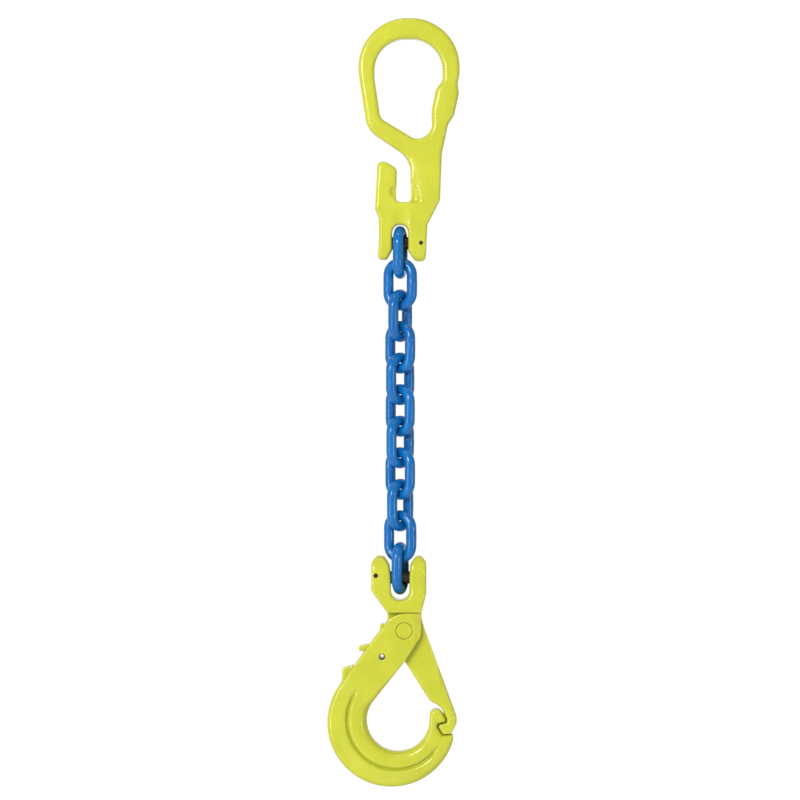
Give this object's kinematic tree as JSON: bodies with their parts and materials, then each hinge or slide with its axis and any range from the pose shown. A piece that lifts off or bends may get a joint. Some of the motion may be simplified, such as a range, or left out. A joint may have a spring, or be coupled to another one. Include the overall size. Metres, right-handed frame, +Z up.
{
  "type": "single leg chain sling",
  "caption": "Single-leg lifting sling: a master grab with a chain-shortening slot, short-link chain and a clevis self-locking safety hook with a thumb trigger.",
  "frame": {"origin": "the seat of the crane hook, at the inner crown of the master grab's eye, midway through its thickness", "axes": "+Z up along the hanging sling, towards the crane; +X across the hooks, towards the latch tip; +Y through their thickness"},
  "size_m": [0.1013, 0.027, 0.5884],
  "materials": {
    "grab_enamel": "gloss yellow-green powder coat on forged steel",
    "chain_enamel": "gloss blue powder coat on welded steel chain",
    "hook_enamel": "gloss yellow-green powder coat on forged steel",
    "dark_pin": "oiled dark steel",
    "coated_pin": "pin ground flush and coated over with the hook",
    "spring_steel": "bright spring steel"
  },
  "bodies": {
    "grab": {"master_grab": "grab_enamel", "upper_load_pin": "dark_pin", "upper_retaining_pin": "dark_pin"},
    "link_01": {"chain_link_01": "chain_enamel"},
    "link_02": {"chain_link_02": "chain_enamel"},
    "link_03": {"chain_link_03": "chain_enamel"},
    "link_04": {"chain_link_04": "chain_enamel"},
    "link_05": {"chain_link_05": "chain_enamel"},
    "link_06": {"chain_link_06": "chain_enamel"},
    "link_07": {"chain_link_07": "chain_enamel"},
    "link_08": {"chain_link_08": "chain_enamel"},
    "link_09": {"chain_link_09": "chain_enamel"},
    "link_10": {"chain_link_10": "chain_enamel"},
    "link_11": {"chain_link_11": "chain_enamel"},
    "head": {"hook_head": "hook_enamel", "lower_load_pin": "dark_pin", "lower_retaining_pin": "dark_pin"},
    "hook": {"hook_body": "hook_enamel", "pivot_pin": "coated_pin", "trigger_pin": "coated_pin", "trigger_spring": "spring_steel"},
    "trigger": {"trigger": "hook_enamel"}
  },
  "joints": [
    {"name": "link_01_swing", "type": "hinge", "parent": "grab", "child": "link_01", "pos_m": [-0.0064, 0, -0.1565], "axis": [1, 0, 0], "range_deg": [-50, 50]},
    {"name": "link_02_swing", "type": "hinge", "parent": "link_01", "child": "link_02", "pos_m": [-0.0064, 0, -0.1799], "axis": [-0.3584, -0.9336, 0], "range_deg": [-60, 60]},
    {"name": "link_03_swing", "type": "hinge", "parent": "link_02", "child": "link_03", "pos_m": [-0.0064, 0, -0.2041], "axis": [-0.8387, 0.5446, 0], "range_deg": [-60, 60]},
    {"name": "link_04_swing", "type": "hinge", "parent": "link_03", "child": "link_04", "pos_m": [-0.0064, 0, -0.2283], "axis": [0.6157, 0.788, 0], "range_deg": [-60, 60]},
    {"name": "link_05_swing", "type": "hinge", "parent": "link_04", "child": "link_05", "pos_m": [-0.0064, 0, -0.2525], "axis": [0.6947, -0.7193, 0], "range_deg": [-60, 60]},
    {"name": "link_06_swing", "type": "hinge", "parent": "link_05", "child": "link_06", "pos_m": [-0.0064, 0, -0.2767], "axis": [-0.6561, -0.7547, 0], "range_deg": [-60, 60]},
    {"name": "link_07_swing", "type": "hinge", "parent": "link_06", "child": "link_07", "pos_m": [-0.0064, 0, -0.3009], "axis": [-0.7193, 0.6947, 0], "range_deg": [-60, 60]},
    {"name": "link_08_swing", "type": "hinge", "parent": "link_07", "child": "link_08", "pos_m": [-0.0064, 0, -0.3251], "axis": [0.6293, 0.7771, 0], "range_deg": [-60, 60]},
    {"name": "link_09_swing", "type": "hinge", "parent": "link_08", "child": "link_09", "pos_m": [-0.0064, 0, -0.3493], "axis": [0.766, -0.6428, 0], "range_deg": [-60, 60]},
    {"name": "link_10_swing", "type": "hinge", "parent": "link_09", "child": "link_10", "pos_m": [-0.0064, 0, -0.3735], "axis": [-0.4695, -0.8829, 0], "range_deg": [-60, 60]},
    {"name": "link_11_swing", "type": "hinge", "parent": "link_10", "child": "link_11", "pos_m": [-0.0064, 0, -0.3977], "axis": [-0.9613, 0.2756, 0], "range_deg": [-60, 60]},
    {"name": "head_swing", "type": "hinge", "parent": "link_11", "child": "head", "pos_m": [-0.0064, 0, -0.41265], "axis": [-1, 0, 0], "range_deg": [-45, 45]},
    {"name": "hook_opening", "type": "hinge", "parent": "head", "child": "hook", "pos_m": [-0.00345, 0, -0.4529], "axis": [0, 1, 0], "range_deg": [0, 30]},
    {"name": "trigger_swing", "type": "hinge", "parent": "hook", "child": "trigger", "pos_m": [-0.0203, 0, -0.4727], "axis": [0, 1, 0], "range_deg": [-15, 0], "stiffness_Nm_per_rad": 0.05, "deforming": ["trigger_spring"]}
  ],
  "couplings": [
    {"joint": "trigger_swing", "follows": "hook_opening", "ratio": -0.5}
  ]
}
